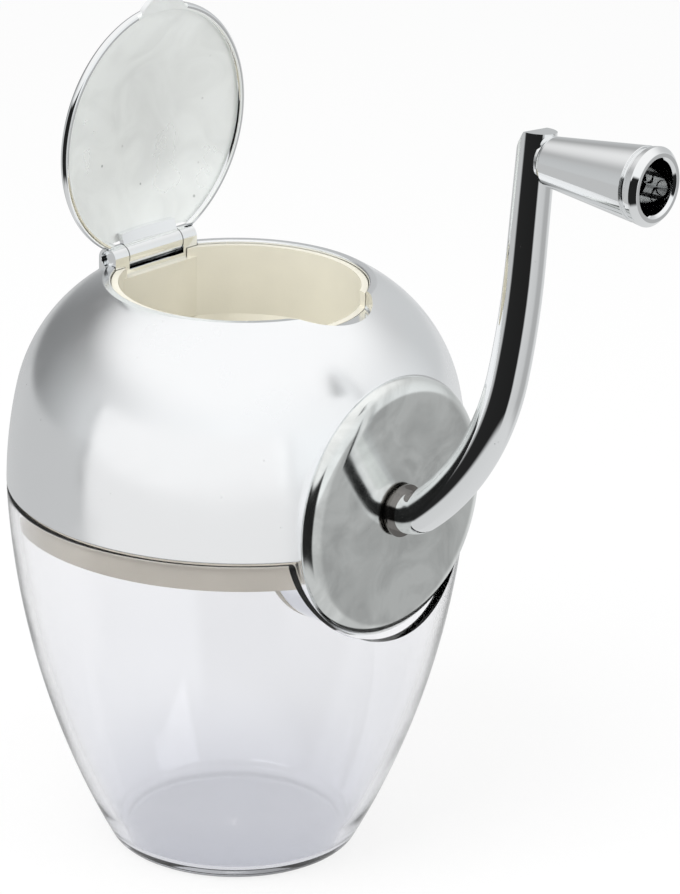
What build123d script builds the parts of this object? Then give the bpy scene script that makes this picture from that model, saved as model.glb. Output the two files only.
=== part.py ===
from build123d import *
import os
from math import acos, asin, cos, degrees, radians, sin, sqrt

os.makedirs("parts", exist_ok=True)

# A hand-cranked ice crusher shaped like an egg: a clear cup stands on the table and
# catches the crushed ice, a chromed dome with the hopper, the breaker and the crank
# sits on it, and a hinged lid closes the hopper.
# The origin is the centre of the cup's underside, +Z is up and +X is the crank's side.

# ---- Driving dimensions, mm ----
# egg: cup below the seam, dome above it
egg_radius = 70.0
seam_height = 117.0
cup_base_radius = 37.5
cup_side_radius = 270.0
cup_corner_radius = 5.0
cup_wall = 2.5
cup_foot_taper = 0.6
cup_floor = 3.5
dome_wall = 2.2
dome_flank_radius = 140.0
dome_flank_height = 30.0
dome_crown_radius = 50.0
mouth_rim_radius = 41.0
mouth_lip_width = 2.4
mouth_lip_depth = 5.0
mouth_lip_step = 0.2

# crank axis, side boss and its mirror disc
axis_above_seam = 7.3
boss_radius = 38.5
boss_setback = 9.5
boss_length = 14.5
boss_wall = 2.2
disc_radius = 39.3
disc_thickness = 4.0
disc_bevel_width = 6.0
disc_bevel_rise = 1.8
disc_bevel_bulge = 0.5
disc_screw_bite = 2.2
disc_screw_azimuths = (90, 210, 330)
notch_gap = 1.5

# hopper and crushing chamber
hopper_wall = 2.0
hopper_below_rim = 1.0
hopper_straight_depth = 22.0
hopper_funnel_depth = 20.0
chamber_half_length = 27.0
chamber_half_width = 22.0
chamber_below_axis = 19.3
chamber_corner_radius = 4.0
hinge_block_depth = 3.8
hinge_block_height = 19.0
liner_flange_width = 6.5
liner_flange_thickness = 2.0

# lower deck with its skirt inside the cup's mouth
deck_thickness = 2.5
deck_lip_thickness = 0.8
deck_lip_inset = 1.2
skirt_height = 8.5
skirt_wall = 2.2
skirt_clearance = 0.9
bulkhead_wall = 2.2

# crank shaft and breaker
shaft_radius = 4.0
hex_flats = 6.9
shaft_tenon_radius = 3.2
shaft_tenon_length = 5.0
shaft_tail = 1.5
wheel_count = 5
wheel_pitch = 10.0
wheel_thickness = 3.0
wheel_hub_radius = 8.0
wheel_tip_radius = 17.0
wheel_teeth = 3
wheel_step = 24.0
tooth_root_width = 9.0
tooth_tip_width = 3.0
spacer_radius = 6.5
bush_wall = 1.2
bush_flange = 1.6
bush_flange_thickness = 0.8
clip_thickness = 1.0
clip_groove_depth = 1.0

# fixed combs
comb_plate = 2.0
comb_finger_thickness = 2.4
comb_tip_gap = 1.2
comb_height = 16.0
fine_finger_thickness = 4.0
fine_comb_height = 19.0
comb_rise = 4.0
comb_root_height = 7.0
comb_tip_height = 2.5

# crank arm and grip
crank_turn = 5.1
arm_lead = 1.5
arm_heel_radius = 8.5
arm_heel_angle = 40.0
arm_belly_radius = 75.0
arm_belly_angle = 82.0
arm_shin_radius = 250.0
arm_hub_radius = 6.4
arm_top_radius = 5.5
crank_reach = 113.3
arm_end_above_grip = 7.7
arm_tip_bevel_width = 4.5
arm_tip_bevel_height = 7.5
crank_washer_radius = 8.0
crank_washer_thickness = 0.6
grip_length = 38.0
grip_small_radius = 7.0
grip_large_radius = 11.5
grip_round = 3.0
grip_end_chamfer = 1.6
grip_bore_radius = 7.8
grip_bore_depth = 25.0
grip_bore_chamfer = 0.8
grip_axle_radius = 3.0
grip_axle_thread_radius = 2.2
grip_axle_grip = 7.0
grip_seat_depth = 2.0
grip_groove_from_end = 4.4
grip_groove_width = 1.8
grip_groove_depth = 0.7
grip_axle_head_radius = 5.5
grip_axle_head = 3.0
grip_washer_radius = 5.5
grip_washer_thickness = 0.8

# lid and its hinge
hinge_offset = 37.6
hinge_above_rim = 1.7
hinge_barrel_radius = 3.5
hinge_pin_radius = 1.5
hinge_width = 35.8
hinge_end_knuckle = 6.0
hinge_base_thickness = 1.8
hinge_gap = 0.3
hinge_screw_inset = 2.2
hinge_backing = 2.5
lid_open_angle = 86.5
lid_radius = 39.3
lid_crown_radius = 89.4
lid_wall = 1.3
lid_bead_radius = 1.3
lid_seat_gap = 0.3
lid_hinge_cut = 4.2
lid_tab_width = 22.0
lid_tab_reach = 3.2
lid_tab_thickness = 1.8
leaf_thickness = 1.6
leaf_reach = 6.5
pin_recess_radius = 2.5
pin_recess_depth = 2.4

# finger scoop under the lid's tab
scoop_radius = 19.5
scoop_reach = 5.0
scoop_depth = 5.5
scoop_backing = 3.0

# fasteners and fits
running_clearance = 0.05
fit_clearance = 0.03
wall_clearance = 0.3
screw_radius = 1.4
screw_head_radius = 2.8
screw_head_height = 1.6
screw_slot_width = 0.7
screw_slot_depth = 0.8
post_radius = 4.0
post_setback = 13.0
post_azimuths = (60, 130, 230, 300)
pad_depth = 10.0
screw_grip = 12.0
screw_end_gap = 1.0
hinge_screw_grip = 5.0
hinge_screw_spread = 8.0
comb_screw_height = 7.0
liner_screw_x = 22.0
bulkhead_gap = 0.4

# ---- Heights, planes and radii worked out from them ----
axis_height = seam_height + axis_above_seam
boss_front = egg_radius - boss_setback
boss_back = boss_front - boss_length
post_circle = egg_radius - post_setback
disc_face = boss_front + disc_thickness
crank_axis = Axis((0, 0, axis_height), (1, 0, 0))
seam_section = Plane(origin=(0, 0, seam_height), x_dir=(1, 0, 0), z_dir=(0, -1, 0))
crown_angle = degrees(asin(dome_flank_height / dome_flank_radius))
crown_offset = dome_flank_radius - dome_crown_radius
crown_x = egg_radius - dome_flank_radius + crown_offset * cos(radians(crown_angle))
crown_z = crown_offset * sin(radians(crown_angle))


def crown_height(radius, inset=0.0):
    """Height above the seam of the dome's crown arc at a radius, or of a surface inset under it."""
    return crown_z + sqrt((dome_crown_radius - inset) ** 2 - (radius - crown_x) ** 2)


def across(x):
    """The plane square to the crank axis at x, with its local x along Y and its local y up."""
    return Plane(origin=(x, 0, axis_height), x_dir=(0, 1, 0), z_dir=(1, 0, 0))


def crank_across(x, reach=0.0):
    """The same in the crank's own turned frame, at a reach out along the arm."""
    turn = radians(crank_turn)
    centre = (x, reach * sin(turn), axis_height + reach * cos(turn))
    return Plane(origin=centre, x_dir=(0, cos(turn), -sin(turn)), z_dir=(1, 0, 0))


rim_above_seam = crown_height(mouth_rim_radius)
rim_height = seam_height + rim_above_seam
mouth_radius = mouth_rim_radius - mouth_lip_width
cup_rim_height = seam_height - deck_lip_thickness
liner_radius = mouth_radius - wall_clearance
hopper_radius = liner_radius - hopper_wall
hopper_top = rim_above_seam - hopper_below_rim
funnel_top = hopper_top - hopper_straight_depth
funnel_bottom = funnel_top - hopper_funnel_depth
chamber_bottom = axis_above_seam - chamber_below_axis
chamber_inner_corner = chamber_corner_radius - hopper_wall / 2
deck_top = deck_thickness - deck_lip_thickness
skirt_radius = egg_radius - cup_wall - skirt_clearance
hinge_height = rim_height + hinge_above_rim
hinge_base_height = hinge_height - hinge_barrel_radius - hinge_gap - hinge_base_thickness
hinge_seat_half = hinge_barrel_radius + hinge_gap
hinge_screw_x = liner_radius - hinge_screw_inset
chamber_end = chamber_half_length + hopper_wall
bush_bore = shaft_radius + running_clearance
bush_radius = bush_bore + bush_wall
bush_face = disc_face + bush_flange_thickness
arm_start = bush_face + wall_clearance + crank_washer_thickness
liner_screw_y = chamber_half_width + hopper_wall + liner_flange_width / 2
disc_screw_circle = boss_radius - boss_wall - 3 * screw_head_radius
comb_screw_places = (-2 * wheel_pitch, 2 * wheel_pitch)
arm_top_x = (arm_start + arm_lead + arm_heel_radius * sin(radians(arm_heel_angle))
             + arm_belly_radius * (sin(radians(arm_belly_angle)) - sin(radians(arm_heel_angle)))
             + arm_shin_radius * (1 - sin(radians(arm_belly_angle))))
grip_seat = arm_top_x + arm_top_radius - grip_seat_depth
grip_axis = Axis(crank_across(0, crank_reach).origin, (1, 0, 0))
grip_section = Plane(origin=grip_axis.position, x_dir=(1, 0, 0), z_dir=(0, -1, 0))
lid_out = Vector(cos(radians(lid_open_angle)), 0, sin(radians(lid_open_angle)))
lid_up = Vector(-sin(radians(lid_open_angle)), 0, cos(radians(lid_open_angle)))
lid_centre = Vector(-hinge_offset, 0, hinge_height) + lid_out * hinge_offset
lid_axis = Axis(lid_centre, lid_up)
lid_plane = Plane(origin=lid_centre, x_dir=lid_out, z_dir=lid_up)
lid_section = Plane(origin=lid_centre, x_dir=lid_out, z_dir=(0, -1, 0))
axis_section = Plane(origin=(0, 0, axis_height), x_dir=(1, 0, 0), z_dir=(0, -1, 0))
crank_plane = Plane(origin=(0, 0, axis_height), x_dir=(1, 0, 0),
                    z_dir=(0, -cos(radians(crank_turn)), sin(radians(crank_turn))))
scoop_floor = rim_height - scoop_depth
scoop_x = mouth_rim_radius + scoop_reach - scoop_radius
pad_height = seam_height + crown_height(mouth_rim_radius + scoop_reach) - pad_depth


def dome_solid(inset):
    """Sketch of the half egg above the seam, closed to the axis and inset by a wall."""
    end_radius = mouth_rim_radius - (mouth_lip_step if inset else 0.0)
    end_angle = degrees(acos((end_radius - crown_x) / (dome_crown_radius - inset)))
    with BuildSketch(seam_section) as section:
        with BuildLine():
            flank = CenterArc((egg_radius - dome_flank_radius, 0), dome_flank_radius - inset, 0, crown_angle)
            crown = CenterArc((crown_x, crown_z), dome_crown_radius - inset, crown_angle,
                              end_angle - crown_angle)
            Polyline(crown @ 1, (0, (crown @ 1).Y), (0, 0), flank @ 0)
        make_face()
    return section.sketch


# ---- Cup: clear moulded beaker, notched at its mouth for the side boss ----
with BuildPart() as cup:
    with BuildSketch(Plane.XZ):
        with BuildLine():
            foot = Line((0, 0), (cup_base_radius, 0))
            side = RadiusArc(foot @ 1, (egg_radius, cup_rim_height), -cup_side_radius)
            Line(side @ 1, (egg_radius - cup_wall, cup_rim_height))
            inner_foot = (cup_base_radius - cup_wall + cup_foot_taper, cup_floor)
            RadiusArc((egg_radius - cup_wall, cup_rim_height), inner_foot, cup_side_radius - cup_wall)
            Polyline(inner_foot, (0, cup_floor), (0, 0))
        make_face()
    revolve(axis=Axis.Z)
    fillet(cup.edges().filter_by(GeomType.CIRCLE).group_by(Axis.Z)[0], cup_corner_radius)
    inner_edges = cup.edges().filter_by(GeomType.CIRCLE).sort_by(lambda e: abs(e.center().Z - cup_floor))
    fillet(inner_edges[0], cup_corner_radius)
    with BuildSketch(across(boss_back)):
        Circle(boss_radius + notch_gap)
    extrude(amount=egg_radius, mode=Mode.SUBTRACT)
cup.part.label = "cup"

# ---- Dome: one chromed moulding with the side boss, the screw posts and the seats at its rim ----
with BuildPart() as rim_pads:
    add(revolve(dome_solid(0.0), axis=Axis.Z, mode=Mode.PRIVATE))
    with BuildSketch(Plane.XY.offset(pad_height)):
        with Locations((scoop_x, 0)):
            Circle(scoop_radius + scoop_backing)
        with Locations((-hinge_offset, 0)):
            Rectangle(2 * (hinge_seat_half + hinge_backing), hinge_width + 2 * hinge_backing)
        Circle(mouth_radius, mode=Mode.SUBTRACT)
    extrude(amount=egg_radius, mode=Mode.INTERSECT)

with BuildPart() as screw_posts:
    add(revolve(dome_solid(0.0), axis=Axis.Z, mode=Mode.PRIVATE))
    with BuildSketch(Plane.XY.offset(seam_height + deck_top)):
        for azimuth in post_azimuths:
            with PolarLocations(post_circle, 1, start_angle=azimuth):
                Circle(post_radius)
    extrude(amount=egg_radius, mode=Mode.INTERSECT)

with BuildPart() as dome_shell:
    add(revolve(dome_solid(0.0), axis=Axis.Z, mode=Mode.PRIVATE))
    with BuildSketch(across(boss_back)):
        Circle(boss_radius)
    extrude(amount=boss_front - boss_back)
    with BuildSketch(across(boss_front)):
        Circle(disc_radius + wall_clearance)
    extrude(amount=egg_radius, mode=Mode.SUBTRACT)
    add(revolve(dome_solid(dome_wall), axis=Axis.Z, mode=Mode.PRIVATE), mode=Mode.SUBTRACT)
    with BuildSketch(Plane.XY.offset(rim_height - mouth_lip_depth)):
        Circle(mouth_rim_radius - mouth_lip_step / 2)
    extrude(amount=mouth_lip_depth)
    with BuildSketch(across(boss_back)):
        Circle(boss_radius - boss_wall)
    extrude(amount=boss_front - boss_wall - boss_back, mode=Mode.SUBTRACT)
    add(rim_pads.part)
    add(screw_posts.part)
    with BuildSketch(Plane.XY.offset(seam_height + hopper_top - hopper_straight_depth)):
        Circle(mouth_radius)
    extrude(amount=egg_radius, mode=Mode.SUBTRACT)
    with BuildSketch(Plane.XY.offset(scoop_floor)):
        with Locations((scoop_x, 0)):
            Circle(scoop_radius)
    extrude(amount=egg_radius, mode=Mode.SUBTRACT)
    with BuildSketch(Plane.XY.offset(hinge_base_height)):
        with Locations((-hinge_offset, 0)):
            Rectangle(2 * hinge_seat_half, hinge_width + 2 * hinge_gap)
    extrude(amount=egg_radius, mode=Mode.SUBTRACT)
    with BuildSketch(Plane.XY.offset(seam_height + deck_top)):
        for azimuth in post_azimuths:
            with PolarLocations(post_circle, 1, start_angle=azimuth):
                Circle(screw_radius)
    extrude(amount=screw_grip, mode=Mode.SUBTRACT)
    with BuildSketch(across(boss_front - boss_wall)):
        Circle(bush_radius)
        with PolarLocations(disc_screw_circle, len(disc_screw_azimuths), start_angle=disc_screw_azimuths[0]):
            Circle(screw_radius + fit_clearance)
    extrude(amount=boss_wall, mode=Mode.SUBTRACT)
dome_shell.part.label = "dome_shell"

# ---- Hopper liner: a round mouth funnelling down to the breaker's oblong chamber ----
with BuildPart() as hopper_liner:
    with BuildSketch(Plane.XY.offset(seam_height + funnel_top)):
        Circle(liner_radius)
    extrude(amount=hopper_straight_depth)
    with BuildSketch(Plane.XY.offset(seam_height + funnel_top)):
        Circle(liner_radius)
    with BuildSketch(Plane.XY.offset(seam_height + funnel_bottom)):
        RectangleRounded(2 * (chamber_half_length + hopper_wall), 2 * (chamber_half_width + hopper_wall),
                         chamber_corner_radius)
    loft()
    with BuildSketch(Plane.XY.offset(seam_height + chamber_bottom)):
        RectangleRounded(2 * (chamber_half_length + hopper_wall), 2 * (chamber_half_width + hopper_wall),
                         chamber_corner_radius)
    extrude(amount=funnel_bottom - chamber_bottom)
    with BuildSketch(Plane.XY.offset(seam_height + deck_top)):
        RectangleRounded(2 * (chamber_half_length + hopper_wall + liner_flange_width),
                         2 * (chamber_half_width + hopper_wall + liner_flange_width), chamber_corner_radius)
    extrude(amount=liner_flange_thickness)
    with BuildSketch(Plane.XY.offset(seam_height + funnel_top)):
        Circle(hopper_radius)
    extrude(amount=hopper_straight_depth, mode=Mode.SUBTRACT)
    with BuildSketch(Plane.XY.offset(seam_height + funnel_top)):
        Circle(hopper_radius)
    with BuildSketch(Plane.XY.offset(seam_height + funnel_bottom)):
        RectangleRounded(2 * chamber_half_length, 2 * chamber_half_width, chamber_inner_corner)
    loft(mode=Mode.SUBTRACT)
    with BuildSketch(Plane.XY.offset(seam_height + chamber_bottom)):
        RectangleRounded(2 * chamber_half_length, 2 * chamber_half_width, chamber_inner_corner)
    extrude(amount=funnel_bottom - chamber_bottom, mode=Mode.SUBTRACT)
    with BuildSketch(Plane.XY.offset(hinge_base_height - hinge_block_height)):
        with Locations((-hopper_radius, 0)):
            Rectangle(2 * hinge_block_depth, hinge_width)
        with BuildSketch(mode=Mode.PRIVATE) as bore:
            Circle(liner_radius - hopper_wall / 2)
        add(bore.sketch, mode=Mode.INTERSECT)
    extrude(amount=hinge_block_height)
    with BuildSketch(Plane.XY.offset(hinge_base_height)):
        with Locations((-hinge_offset, 0)):
            Rectangle(2 * hinge_seat_half, hinge_width + 2 * hinge_gap)
    extrude(amount=egg_radius, mode=Mode.SUBTRACT)
    with BuildSketch(Plane.XY.offset(scoop_floor)):
        with Locations((scoop_x, 0)):
            Circle(scoop_radius)
    extrude(amount=egg_radius, mode=Mode.SUBTRACT)
    with BuildSketch(Plane.XY.offset(hinge_base_height - hinge_screw_grip)):
        with Locations((-hinge_screw_x, hinge_screw_spread), (-hinge_screw_x, -hinge_screw_spread)):
            Circle(screw_radius)
    extrude(amount=hinge_screw_grip, mode=Mode.SUBTRACT)
    with BuildSketch(across(-chamber_end)):
        Circle(bush_radius)
    extrude(amount=2 * chamber_end, mode=Mode.SUBTRACT)
    for side in (-1, 1):
        with BuildSketch(across(side * chamber_end)):
            Circle(bush_radius + bush_flange + wall_clearance)
        extrude(amount=side * (liner_flange_width + wall_clearance), mode=Mode.SUBTRACT)
    with BuildSketch(Plane.XZ.offset(-chamber_half_width - hopper_wall)):
        for x in comb_screw_places:
            with Locations((x, axis_height + comb_screw_height)):
                Circle(screw_radius + fit_clearance)
    extrude(amount=2 * (chamber_half_width + hopper_wall), mode=Mode.SUBTRACT)
    with BuildSketch(Plane.XY.offset(seam_height + deck_top)):
        with GridLocations(2 * liner_screw_x, 2 * liner_screw_y, 2, 2):
            Circle(screw_radius + fit_clearance)
    extrude(amount=liner_flange_thickness, mode=Mode.SUBTRACT)
hopper_liner.part.label = "hopper_liner"

# ---- Lower deck: closes the dome from below; its skirt plugs into the cup's mouth ----
with BuildPart() as lower_deck:
    with BuildSketch(Plane.XY.offset(cup_rim_height)):
        Circle(egg_radius - deck_lip_inset)
    extrude(amount=deck_lip_thickness)
    with BuildSketch(Plane.XY.offset(seam_height)):
        Circle(egg_radius - dome_wall - wall_clearance)
    extrude(amount=deck_top)
    with BuildSketch(Plane.XY.offset(cup_rim_height - skirt_height)):
        Circle(skirt_radius)
        Circle(skirt_radius - skirt_wall, mode=Mode.SUBTRACT)
    extrude(amount=skirt_height)
    with BuildSketch(Plane.XY.offset(cup_rim_height)):
        RectangleRounded(2 * (chamber_half_length + hopper_wall + wall_clearance),
                         2 * (chamber_half_width + hopper_wall + wall_clearance), chamber_corner_radius)
        with GridLocations(2 * liner_screw_x, 2 * liner_screw_y, 2, 2):
            Circle(screw_radius)
        for azimuth in post_azimuths:
            with PolarLocations(post_circle, 1, start_angle=azimuth):
                Circle(screw_radius + fit_clearance)
    extrude(amount=deck_thickness, mode=Mode.SUBTRACT)
    with BuildSketch(across(-chamber_end - liner_flange_width)):
        Circle(bush_radius + bush_flange + wall_clearance)
    extrude(amount=2 * (chamber_end + liner_flange_width), mode=Mode.SUBTRACT)
    with BuildSketch(across(boss_back - bulkhead_gap)):
        Circle(boss_radius + wall_clearance)
    extrude(amount=egg_radius, mode=Mode.SUBTRACT)
    with BuildSketch(across(boss_back - bulkhead_gap - bulkhead_wall)):
        Circle(boss_radius)
        with Locations((0, egg_radius - axis_above_seam)):
            Rectangle(2 * egg_radius, 2 * egg_radius, mode=Mode.SUBTRACT)
    extrude(amount=bulkhead_wall)
lower_deck.part.label = "lower_deck"

# ---- Side disc: mirror-bright cover with a rounded bevel, screwed on from inside the boss ----
with BuildPart() as side_disc:
    with BuildSketch(axis_section):
        with BuildLine():
            back = Polyline((boss_front, bush_radius), (boss_front, disc_radius),
                            (disc_face - disc_bevel_rise, disc_radius))
            bevel = SagittaArc(back @ 1, (disc_face, disc_radius - disc_bevel_width), disc_bevel_bulge)
            Polyline(bevel @ 1, (disc_face, bush_radius), back @ 0)
        make_face()
    revolve(axis=crank_axis)
    with BuildSketch(across(boss_front)):
        with PolarLocations(disc_screw_circle, len(disc_screw_azimuths), start_angle=disc_screw_azimuths[0]):
            Circle(screw_radius)
    extrude(amount=disc_screw_bite, mode=Mode.SUBTRACT)
side_disc.part.label = "side_disc"


# ---- Bushes: the shaft runs in one at each end of the chamber and one in the nose ----
def flanged_bush(seat_x, length, side):
    """A bush filling a wall of this length, with its flange standing on the side where it is put in."""
    with BuildPart() as bush:
        with BuildSketch(across(seat_x)):
            Circle(bush_radius - fit_clearance)
        extrude(amount=-side * length)
        with BuildSketch(across(seat_x)):
            Circle(bush_radius + bush_flange)
        extrude(amount=side * bush_flange_thickness)
        with BuildSketch(across(seat_x + side * bush_flange_thickness)):
            Circle(bush_bore)
        extrude(amount=-side * (length + bush_flange_thickness), mode=Mode.SUBTRACT)
    return bush


rear_bush = flanged_bush(-chamber_end, hopper_wall, -1)
rear_bush.part.label = "rear_bush"
front_bush = flanged_bush(chamber_end, hopper_wall, 1)
front_bush.part.label = "front_bush"
nose_bush = flanged_bush(disc_face, disc_thickness + boss_wall, 1)
nose_bush.part.label = "nose_bush"

# ---- Crank shaft: round in its bushes, hexagonal under the breaker wheels ----
shaft_back = -chamber_end - bush_flange_thickness - running_clearance - clip_thickness - shaft_tail
with BuildPart() as crank_shaft:
    with BuildSketch(crank_across(shaft_back)):
        Circle(shaft_radius)
    extrude(amount=-chamber_half_length - shaft_back)
    with BuildSketch(crank_across(-chamber_half_length)):
        RegularPolygon(hex_flats / 2, 6, major_radius=False)
    extrude(amount=2 * chamber_half_length)
    with BuildSketch(crank_across(chamber_half_length)):
        Circle(shaft_radius)
    extrude(amount=arm_start - chamber_half_length)
    with BuildSketch(crank_across(arm_start)):
        Circle(shaft_tenon_radius)
    extrude(amount=shaft_tenon_length)
    with BuildSketch(crank_across(shaft_back + shaft_tail)):
        Circle(shaft_radius)
        Circle(shaft_radius - clip_groove_depth, mode=Mode.SUBTRACT)
    extrude(amount=clip_thickness, mode=Mode.SUBTRACT)
crank_shaft.part.label = "crank_shaft"

with BuildPart() as shaft_clip:
    with BuildSketch(crank_across(shaft_back + shaft_tail)):
        Circle(bush_radius)
        Circle(shaft_radius - clip_groove_depth + fit_clearance, mode=Mode.SUBTRACT)
        with Locations((0, -bush_radius)):
            Rectangle(shaft_radius, 2 * bush_radius, mode=Mode.SUBTRACT)
    extrude(amount=clip_thickness)
shaft_clip.part.label = "shaft_clip"

# ---- Breaker: toothed steel wheels on the hexagon, each turned on from the last, with spacers between ----
wheel_places = [(i - (wheel_count - 1) / 2) * wheel_pitch for i in range(wheel_count)]
with BuildPart() as breaker_wheels:
    for i, x in enumerate(wheel_places):
        with BuildSketch(crank_across(x - wheel_thickness / 2)):
            with PolarLocations(0, wheel_teeth, start_angle=i * wheel_step):
                Polygon((0, -tooth_root_width / 2),
                        (wheel_tip_radius, (tooth_tip_width - tooth_root_width) / 2),
                        (wheel_tip_radius, tooth_tip_width / 2), (0, tooth_root_width / 2), align=None)
            Circle(wheel_hub_radius)
            with BuildSketch(mode=Mode.PRIVATE) as tip_circle:
                Circle(wheel_tip_radius)
            add(tip_circle.sketch, mode=Mode.INTERSECT)
            RegularPolygon(hex_flats / 2 + fit_clearance, 6, major_radius=False, mode=Mode.SUBTRACT)
        extrude(amount=wheel_thickness)
breaker_wheels.part.label = "breaker_wheels"

spacer_length = wheel_pitch - wheel_thickness
wheel_end = wheel_places[-1] + wheel_thickness / 2
end_spacer_length = chamber_half_length - wheel_end - wall_clearance
with BuildPart() as wheel_spacers:
    for x in wheel_places[:-1]:
        with BuildSketch(crank_across(x + wheel_thickness / 2)):
            Circle(spacer_radius)
            RegularPolygon(hex_flats / 2 + fit_clearance, 6, major_radius=False, mode=Mode.SUBTRACT)
        extrude(amount=spacer_length)
    for x in (-wheel_end - end_spacer_length, wheel_end):
        with BuildSketch(crank_across(x)):
            Circle(spacer_radius)
            RegularPolygon(hex_flats / 2 + fit_clearance, 6, major_radius=False, mode=Mode.SUBTRACT)
        extrude(amount=end_spacer_length)
wheel_spacers.part.label = "wheel_spacers"


# ---- Fixed combs: the crank breaks ice on the coarse comb turned one way, on the fine one the other way ----
def wall_comb(side, height, finger_places, finger_thickness):
    """A pressed comb on the chamber's wall at +Y or -Y, its fingers reaching in between the wheels."""
    root = chamber_half_width - comb_plate
    tip = spacer_radius + comb_tip_gap
    with BuildPart() as comb:
        with BuildSketch(Plane.XZ.offset(-side * chamber_half_width)):
            with Locations((0, axis_height + comb_rise)):
                Rectangle(2 * (chamber_half_length - chamber_corner_radius), height)
            for x in comb_screw_places:
                with Locations((x, axis_height + comb_screw_height)):
                    Circle(screw_radius, mode=Mode.SUBTRACT)
        extrude(amount=side * comb_plate)
        for x in finger_places:
            with BuildSketch(across(x - finger_thickness / 2)):
                Polygon((side * root, -comb_root_height / 2), (side * root, comb_root_height / 2),
                        (side * tip, comb_tip_height / 2), (side * tip, -comb_tip_height / 2), align=None)
            extrude(amount=finger_thickness)
    return comb


wheel_gaps = [x + wheel_pitch / 2 for x in wheel_places[:-1]]
coarse_comb = wall_comb(1, comb_height, wheel_gaps, comb_finger_thickness)
coarse_comb.part.label = "coarse_comb"
fine_comb = wall_comb(-1, fine_comb_height, wheel_gaps, fine_finger_thickness)
fine_comb.part.label = "fine_comb"


# ---- Screws ----
def pan_screws(seats, grip):
    """Slotted pan-head screws: each head stands on its seat plane and the shank goes in below it."""
    with BuildPart() as screws:
        for seat in seats:
            with BuildSketch(seat):
                Circle(screw_head_radius)
            extrude(amount=screw_head_height)
            with BuildSketch(seat):
                Circle(screw_radius - fit_clearance)
            extrude(amount=-grip)
            with BuildSketch(seat.offset(screw_head_height)):
                Rectangle(2 * screw_head_radius, screw_slot_width)
            extrude(amount=-screw_slot_depth, mode=Mode.SUBTRACT)
    return screws


post_places = [(post_circle * cos(radians(a)), post_circle * sin(radians(a))) for a in post_azimuths]
deck_screws = pan_screws([Plane(origin=(x, y, cup_rim_height), z_dir=(0, 0, -1)) for x, y in post_places],
                         deck_thickness + screw_grip - screw_end_gap)
deck_screws.part.label = "deck_screws"

liner_seat = seam_height + deck_top + liner_flange_thickness
liner_screw_places = [(x, y) for x in (-liner_screw_x, liner_screw_x)
                      for y in (-liner_screw_y, liner_screw_y)]
liner_screws = pan_screws([Plane(origin=(x, y, liner_seat)) for x, y in liner_screw_places],
                          liner_flange_thickness + deck_thickness)
liner_screws.part.label = "liner_screws"

chamber_outside = chamber_half_width + hopper_wall
comb_seats = [Plane(origin=(x, side * chamber_outside, axis_height + comb_screw_height), z_dir=(0, side, 0))
              for x in comb_screw_places for side in (-1, 1)]
comb_screws = pan_screws(comb_seats, hopper_wall + comb_plate)
comb_screws.part.label = "comb_screws"

disc_screws = pan_screws([Plane(origin=(boss_front - boss_wall, disc_screw_circle * cos(radians(a)),
                                        axis_height + disc_screw_circle * sin(radians(a))), z_dir=(-1, 0, 0))
                          for a in disc_screw_azimuths], boss_wall + disc_screw_bite - screw_end_gap / 2)
disc_screws.part.label = "disc_screws"

# ---- Crank: washer, curved arm and its locking screw ----
with BuildPart() as crank_washer:
    with BuildSketch(crank_across(bush_face + wall_clearance)):
        Circle(crank_washer_radius)
        Circle(shaft_radius + fit_clearance, mode=Mode.SUBTRACT)
    extrude(amount=crank_washer_thickness)
crank_washer.part.label = "crank_washer"

with BuildPart() as crank_arm:
    with BuildLine(crank_plane) as arm_line:
        lead = Line((arm_start, 0), (arm_start + arm_lead, 0))
        heel = JernArc(lead @ 1, lead % 1, arm_heel_radius, arm_heel_angle)
        belly = JernArc(heel @ 1, heel % 1, arm_belly_radius, arm_belly_angle - arm_heel_angle)
        shin = JernArc(belly @ 1, belly % 1, arm_shin_radius, 90 - arm_belly_angle)
        Line(shin @ 1, (crank_plane.to_local_coords(shin @ 1).X, crank_reach + arm_end_above_grip))
    with BuildSketch(Plane(arm_line.line @ 0, z_dir=arm_line.line % 0)):
        Circle(arm_hub_radius)
    with BuildSketch(Plane(arm_line.line @ 1, z_dir=arm_line.line % 1)):
        Circle(arm_top_radius)
    sweep(path=arm_line.line, multisection=True)
    with BuildSketch(crank_plane):
        with Locations((arm_top_x - arm_top_radius, crank_reach + arm_end_above_grip)):
            Polygon((arm_tip_bevel_width, 0), (-arm_tip_bevel_width, 0),
                    (-arm_tip_bevel_width, -2 * arm_tip_bevel_height), align=None)
    extrude(amount=arm_hub_radius, both=True, mode=Mode.SUBTRACT)
    with BuildSketch(crank_across(arm_start)):
        Circle(shaft_tenon_radius + fit_clearance)
    extrude(amount=shaft_tenon_length, mode=Mode.SUBTRACT)
    with BuildSketch(crank_across(grip_seat, crank_reach)):
        Circle(grip_small_radius + wall_clearance)
    extrude(amount=arm_top_radius, mode=Mode.SUBTRACT)
    with BuildSketch(crank_across(grip_seat, crank_reach)):
        Circle(grip_axle_thread_radius)
    extrude(amount=-grip_axle_grip, mode=Mode.SUBTRACT)
crank_arm.part.label = "crank_arm"

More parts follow.
